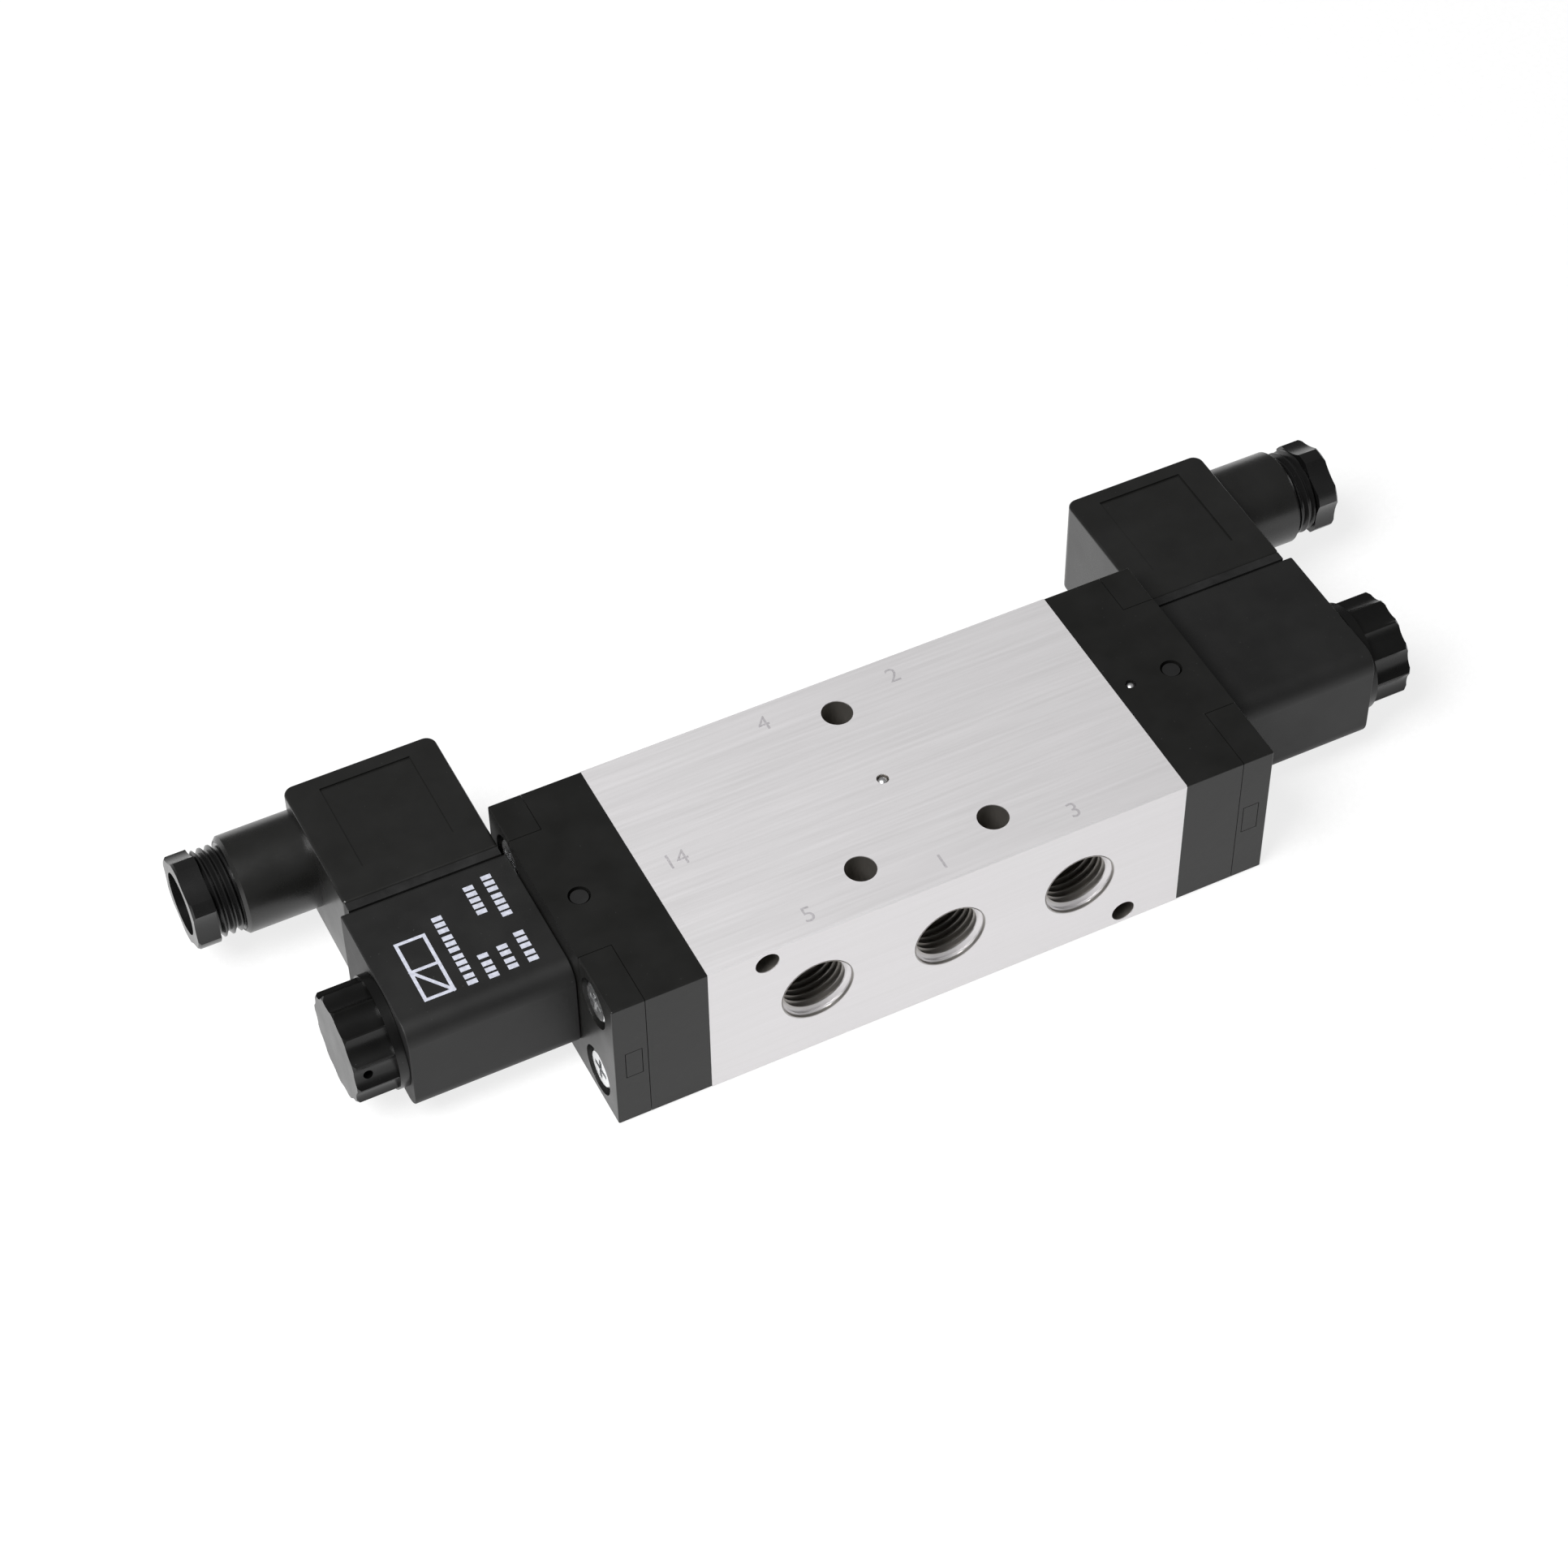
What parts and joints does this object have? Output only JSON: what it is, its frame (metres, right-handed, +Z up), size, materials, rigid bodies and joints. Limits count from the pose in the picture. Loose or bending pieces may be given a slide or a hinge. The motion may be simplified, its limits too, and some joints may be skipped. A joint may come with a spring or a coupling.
{
  "type": "solenoid directional valve",
  "caption": "Pneumatic directional valve: aluminium body with threaded ports and through holes, plastic end covers, and a solenoid coil with a plug connector at each end.",
  "frame": {"origin": "centre of the aluminium body's underside", "axes": "+X along the valve towards the right solenoid, +Y from the three front ports to the two rear ports, +Z up"},
  "size_m": [0.2259, 0.0748, 0.03],
  "materials": {
    "body_aluminium": "drawn and machined, fine brushing along the length",
    "cover_plastic": "fine moulded grain",
    "coil_plastic": "fine moulded grain",
    "plug_plastic": "fine moulded grain",
    "nut_plastic": "satin moulded",
    "gland_plastic": "satin moulded",
    "override_plastic": "satin moulded",
    "spacer_plastic": "natural moulded",
    "seal_rubber": "matt",
    "bright_steel": "ground and polished",
    "zinc_steel": "zinc plated",
    "spring_steel": "drawn wire",
    "core_steel": "turned",
    "brass": "turned",
    "copper": "enamelled wire"
  },
  "bodies": {
    "valve": {"valve_body": "body_aluminium", "spool_seals": "seal_rubber", "spool_spacers": "spacer_plastic", "cover_gaskets": "seal_rubber", "ball_plugs": "bright_steel", "coil_nut_seals": "seal_rubber", "gland_washers": "spacer_plastic", "left_end_bush": "spacer_plastic", "left_end_cover": "cover_plastic", "left_pilot_plate": "cover_plastic", "left_cover_screws": "zinc_steel", "left_override_spring": "spring_steel", "left_armature_tube": "brass", "left_fixed_core": "core_steel", "left_armature_spring": "spring_steel", "left_coil_housing": "coil_plastic", "left_coil_yoke": "zinc_steel", "left_coil_bobbin": "spacer_plastic", "left_coil_winding": "copper", "left_coil_terminals": "zinc_steel", "left_coil_nut": "nut_plastic", "left_plug_housing": "plug_plastic", "left_terminal_block": "spacer_plastic", "left_plug_gasket": "seal_rubber", "left_plug_screw": "zinc_steel", "left_gland_screw": "gland_plastic", "left_gland_seal": "seal_rubber", "right_end_bush": "spacer_plastic", "right_end_cover": "cover_plastic", "right_pilot_plate": "cover_plastic", "right_cover_screws": "zinc_steel", "right_override_spring": "spring_steel", "right_armature_tube": "brass", "right_fixed_core": "core_steel", "right_armature_spring": "spring_steel", "right_coil_housing": "coil_plastic", "right_coil_yoke": "zinc_steel", "right_coil_bobbin": "spacer_plastic", "right_coil_winding": "copper", "right_coil_terminals": "zinc_steel", "right_coil_nut": "nut_plastic", "right_plug_housing": "plug_plastic", "right_terminal_block": "spacer_plastic", "right_plug_gasket": "seal_rubber", "right_plug_screw": "zinc_steel", "right_gland_screw": "gland_plastic", "right_gland_seal": "seal_rubber"},
    "spool": {"spool": "bright_steel", "left_piston": "spacer_plastic", "left_piston_seal": "seal_rubber", "right_piston": "spacer_plastic", "right_piston_seal": "seal_rubber"},
    "left_armature": {"left_armature": "core_steel", "left_armature_seal": "seal_rubber"},
    "left_override": {"left_manual_override": "override_plastic", "left_override_seal": "seal_rubber"},
    "right_armature": {"right_armature": "core_steel", "right_armature_seal": "seal_rubber"},
    "right_override": {"right_manual_override": "override_plastic", "right_override_seal": "seal_rubber"}
  },
  "joints": [
    {"name": "spool_slide", "type": "slide", "parent": "valve", "child": "spool", "axis": [1, 0, 0], "range_m": [0, 0.005]},
    {"name": "left_armature_slide", "type": "slide", "parent": "valve", "child": "left_armature", "axis": [-1, 0, 0], "range_m": [0, 0.0009], "stiffness_N_per_m": 400, "springref_m": -0.003, "deforming": ["left_armature_spring"]},
    {"name": "left_override_push", "type": "slide", "parent": "valve", "child": "left_override", "axis": [0, 0, -1], "range_m": [0, 0.0015], "stiffness_N_per_m": 150, "springref_m": -0.002, "deforming": ["left_override_spring"]},
    {"name": "right_armature_slide", "type": "slide", "parent": "valve", "child": "right_armature", "axis": [1, 0, 0], "range_m": [0, 0.0009], "stiffness_N_per_m": 400, "springref_m": -0.003, "deforming": ["right_armature_spring"]},
    {"name": "right_override_push", "type": "slide", "parent": "valve", "child": "right_override", "axis": [0, 0, -1], "range_m": [0, 0.0015], "stiffness_N_per_m": 150, "springref_m": -0.002, "deforming": ["right_override_spring"]}
  ]
}
